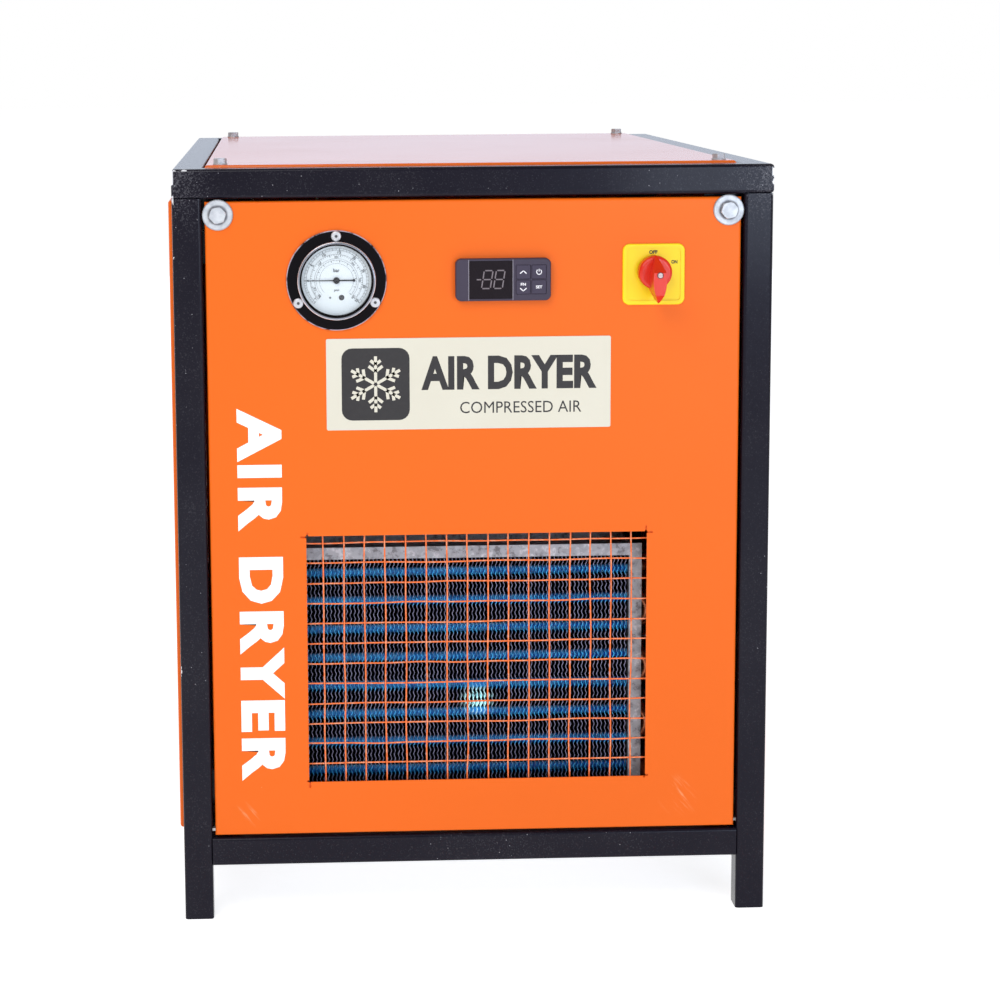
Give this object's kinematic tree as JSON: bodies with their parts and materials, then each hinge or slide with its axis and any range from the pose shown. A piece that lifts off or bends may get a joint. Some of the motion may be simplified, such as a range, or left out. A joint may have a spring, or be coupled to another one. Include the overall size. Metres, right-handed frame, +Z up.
{
  "type": "refrigerated air dryer",
  "caption": "Cabinet refrigerated air dryer: square-tube frame, folded panels, panel gauge, digital controller, rotary isolator and meshed condenser window.",
  "frame": {"origin": "centre of the bottom of the whole machine's box, on the floor between the four legs", "axes": "+X right and +Y back seen from the front, +Z up; the front panel faces -Y"},
  "size_m": [0.518, 0.8322, 0.6622],
  "materials": {
    "frame_black": "black enamel, slightly textured",
    "panel_orange": "glossy orange powder coat",
    "zinc": "bright zinc plate",
    "galvanised": "galvanised sheet",
    "gauge_black": "gloss black",
    "gauge_chrome": "polished",
    "gauge_glass": "clear",
    "dial_white": "satin white",
    "needle_black": "matt black",
    "brass": "machined",
    "controller_grey": "fine matt",
    "controller_black": "gloss",
    "key_grey": "fine matt",
    "switch_yellow": "satin",
    "switch_red": "satin",
    "cap_grey": "satin",
    "switch_black": "matt",
    "plate_cream": "satin sheet",
    "fin_aluminium": "mill, dark behind",
    "copper_tube": "drawn copper",
    "fan_black": "moulded",
    "motor_grey": "satin",
    "compressor_black": "satin",
    "steel": "plain steel",
    "rubber": "matt",
    "foam_black": "closed-cell foam jacket",
    "white_plastic": "moulded"
  },
  "bodies": {
    "cabinet": {"air_pipes": "steel", "base_tray": "galvanised", "bottom_front_rail": "frame_black", "bottom_left_rail": "frame_black", "bottom_rear_rail": "frame_black", "bottom_right_rail": "frame_black", "cable_gland": "switch_black", "compressor_grommets": "rubber", "compressor_motor": "steel", "compressor_shell": "compressor_black", "condenser_fins": "fin_aluminium", "condenser_frame": "galvanised", "condenser_tubes": "copper_tube", "controller_case": "controller_grey", "controller_window": "controller_black", "corner_bolts": "zinc", "drain_outlet": "brass", "drain_valve": "brass", "electrical_box": "white_plastic", "fan_motor": "motor_grey", "fan_shroud": "galvanised", "filter_drier": "copper_tube", "front_left_post": "frame_black", "front_panel": "panel_orange", "front_right_post": "frame_black", "gauge_bezel": "gauge_chrome", "gauge_case": "gauge_black", "gauge_dial": "dial_white", "gauge_glass": "gauge_glass", "gauge_movement": "brass", "gauge_screws": "zinc", "heat_exchanger": "foam_black", "left_side_panel": "panel_orange", "mesh_strips": "panel_orange", "name_plate": "plate_cream", "rear_left_post": "frame_black", "rear_panel": "panel_orange", "rear_right_post": "frame_black", "refrigerant_lines": "copper_tube", "right_side_panel": "panel_orange", "side_panel_screws": "zinc", "switch_body": "switch_black", "switch_plate": "switch_yellow", "top_front_rail": "frame_black", "top_left_rail": "frame_black", "top_panel": "panel_orange", "top_panel_bolts": "zinc", "top_rear_rail": "frame_black", "top_right_rail": "frame_black", "water_separator": "steel", "welded_brackets": "frame_black", "window_mesh": "panel_orange"},
    "knob": {"switch_knob": "switch_red", "switch_knob_cap": "cap_grey"},
    "needle": {"gauge_needle": "needle_black"},
    "fan": {"fan_blade": "fan_black"},
    "up_key": {"key_up": "key_grey"},
    "down_key": {"key_down": "key_grey"},
    "power_key": {"key_power": "key_grey"},
    "set_key": {"key_set": "key_grey"}
  },
  "joints": [
    {"name": "switch_turn", "type": "hinge", "parent": "cabinet", "child": "knob", "pos_m": [0.1527, -0.375, 0.5648], "axis": [0, 1, 0], "range_deg": [0, 60]},
    {"name": "needle_swing", "type": "hinge", "parent": "cabinet", "child": "needle", "pos_m": [-0.1169, -0.375, 0.5602], "axis": [0, 1, 0], "range_deg": [-45, 225]},
    {"name": "fan_spin", "type": "hinge", "parent": "cabinet", "child": "fan", "pos_m": [-0.0277, -0.257, 0.1998], "axis": [0, 1, 0], "continuous": true},
    {"name": "up_key_press", "type": "slide", "parent": "cabinet", "child": "up_key", "axis": [0, 1, 0], "range_m": [0, 0.0007], "stiffness_N_per_m": 800},
    {"name": "power_key_press", "type": "slide", "parent": "cabinet", "child": "power_key", "axis": [0, 1, 0], "range_m": [0, 0.0007], "stiffness_N_per_m": 800},
    {"name": "down_key_press", "type": "slide", "parent": "cabinet", "child": "down_key", "axis": [0, 1, 0], "range_m": [0, 0.0007], "stiffness_N_per_m": 800},
    {"name": "set_key_press", "type": "slide", "parent": "cabinet", "child": "set_key", "axis": [0, 1, 0], "range_m": [0, 0.0007], "stiffness_N_per_m": 800}
  ]
}
